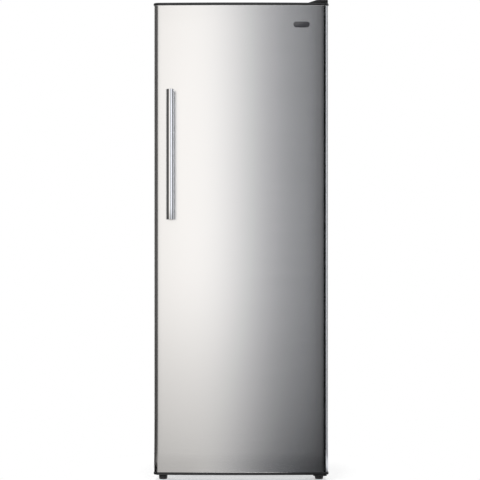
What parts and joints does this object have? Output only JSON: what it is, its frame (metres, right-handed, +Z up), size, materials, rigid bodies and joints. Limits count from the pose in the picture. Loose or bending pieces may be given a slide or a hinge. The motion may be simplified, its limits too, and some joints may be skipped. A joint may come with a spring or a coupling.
{
  "type": "upright freezer",
  "caption": "Tall single-door upright freezer with a bowed stainless door hinged on the right, a vertical bar handle, cold shelves, drawers, door bins and a rear condenser.",
  "frame": {"origin": "centre of the footprint, on the floor", "axes": "+X to the right seen from the front, +Y to the back, +Z up"},
  "size_m": [0.6, 0.6885, 1.6515],
  "materials": {
    "cabinet_paint": "satin",
    "stainless": "brushed",
    "polished_tube": "polished",
    "black_plastic": "fine texture",
    "white_liner": "gloss",
    "foam": "matt foam",
    "galvanised": "galvanised",
    "black_steel": "gloss enamel",
    "zinc_steel": "zinc plated",
    "copper": "drawn tube",
    "rubber_black": "matt",
    "gasket_grey": "soft",
    "clear_bin": "translucent",
    "white_enamel_tube": "coated",
    "white_plastic": "satin",
    "lamp_glass": "frosted",
    "badge_black": "gloss"
  },
  "bodies": {
    "cabinet": {"back_panel": "galvanised", "base_deck": "galvanised", "bottom_hinge_bracket": "black_steel", "cabinet_screws": "zinc_steel", "cabinet_wrapper": "cabinet_paint", "capillary_tube": "copper", "compressor": "black_steel", "compressor_bolts": "zinc_steel", "compressor_grommets": "rubber_black", "compressor_tray": "galvanised", "condenser_brackets": "black_plastic", "condenser_coil": "black_steel", "control_housing": "white_plastic", "cord_gland": "rubber_black", "discharge_tube": "copper", "drain_tube": "white_plastic", "drawer_runners": "white_liner", "evaporator_risers": "white_enamel_tube", "evaporator_shelf_1": "white_enamel_tube", "evaporator_shelf_2": "white_enamel_tube", "evaporator_shelf_3": "white_enamel_tube", "evaporator_shelf_4": "white_enamel_tube", "filter_drier": "copper", "front_flange": "cabinet_paint", "inner_liner": "white_liner", "insulation_foam": "foam", "lamp": "lamp_glass", "lamp_lens": "lamp_glass", "reed_switch": "black_plastic", "relay_cover": "black_plastic", "roller_axles": "zinc_steel", "roller_brackets": "galvanised", "shelf_clips": "white_plastic", "suction_tube": "copper", "thermostat_body": "white_plastic", "top_hinge_bracket": "zinc_steel", "top_hinge_cover": "black_plastic"},
    "door": {"blank_badge": "badge_black", "door_bin_1": "clear_bin", "door_bin_2": "clear_bin", "door_bin_3": "clear_bin", "door_bin_4": "clear_bin", "door_bushings": "white_plastic", "door_cap_bottom": "black_plastic", "door_cap_top": "black_plastic", "door_foam": "foam", "door_gasket": "gasket_grey", "door_liner": "white_liner", "door_skin": "stainless", "handle_bar": "polished_tube", "handle_plugs": "black_plastic", "handle_posts": "polished_tube", "handle_screws": "zinc_steel"},
    "lower_drawer": {"lower_drawer": "clear_bin"},
    "upper_drawer": {"upper_drawer": "clear_bin"},
    "thermostat_knob": {"thermostat_knob": "white_plastic"},
    "front_foot_left": {"front_foot_left": "black_plastic"},
    "front_foot_right": {"front_foot_right": "black_plastic"},
    "rear_roller_left": {"rear_roller_left": "black_plastic"},
    "rear_roller_right": {"rear_roller_right": "black_plastic"}
  },
  "joints": [
    {"name": "door_hinge", "type": "hinge", "parent": "cabinet", "child": "door", "pos_m": [0.2725, -0.26492, 0.84], "axis": [0, 0, 1], "range_deg": [0, 125]},
    {"name": "lower_drawer_slide", "type": "slide", "parent": "cabinet", "child": "lower_drawer", "axis": [0, -1, 0], "range_m": [0, 0.175]},
    {"name": "upper_drawer_slide", "type": "slide", "parent": "cabinet", "child": "upper_drawer", "axis": [0, -1, 0], "range_m": [0, 0.2187]},
    {"name": "thermostat_turn", "type": "hinge", "parent": "cabinet", "child": "thermostat_knob", "pos_m": [-0.0475, -0.10692, 1.567], "axis": [0, -1, 0], "range_deg": [0, 280]},
    {"name": "front_foot_left_turn", "type": "hinge", "parent": "cabinet", "child": "front_foot_left", "pos_m": [-0.2705, -0.18692, 0.02], "axis": [0, 0, 1], "continuous": true},
    {"name": "front_foot_right_turn", "type": "hinge", "parent": "cabinet", "child": "front_foot_right", "pos_m": [0.2705, -0.18692, 0.02], "axis": [0, 0, 1], "continuous": true},
    {"name": "rear_roller_left_spin", "type": "hinge", "parent": "cabinet", "child": "rear_roller_left", "pos_m": [-0.2375, 0.26608, 0.01], "axis": [1, 0, 0], "continuous": true},
    {"name": "rear_roller_right_spin", "type": "hinge", "parent": "cabinet", "child": "rear_roller_right", "pos_m": [0.2375, 0.26608, 0.01], "axis": [1, 0, 0], "continuous": true}
  ],
  "couplings": [
    {"joint": "lower_drawer_slide", "follows": "door_hinge", "m_per_rad": 0.08},
    {"joint": "upper_drawer_slide", "follows": "door_hinge", "m_per_rad": 0.1}
  ]
}
